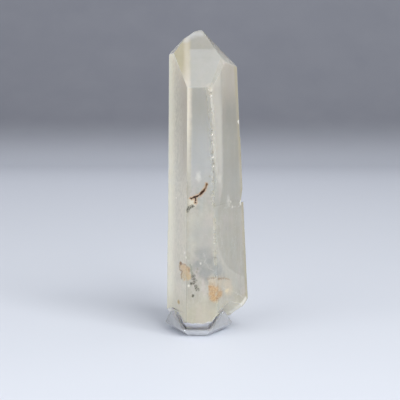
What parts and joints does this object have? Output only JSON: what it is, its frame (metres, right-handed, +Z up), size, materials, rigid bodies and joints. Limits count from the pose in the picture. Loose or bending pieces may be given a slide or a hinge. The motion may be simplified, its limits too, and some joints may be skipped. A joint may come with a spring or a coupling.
{
  "type": "quartz point on a clear stand",
  "caption": "Milky quartz crystal point with a broken foot, upright in a small clear stand with three prongs.",
  "frame": {"origin": "middle of the stand's underside, on the surface that it stands on", "axes": "+Z up along the crystal to its tip, -Y towards the front face that the picture shows, +X to the right"},
  "size_m": [0.0318, 0.0296, 0.1135],
  "materials": {
    "quartz": "clear to milky quartz, glassy faces, fine growth lines, earthy stains near the foot",
    "clear_acrylic": "clear polished acrylic"
  },
  "bodies": {
    "root": {"quartz_point": "quartz", "display_stand": "clear_acrylic"}
  },
  "joints": []
}
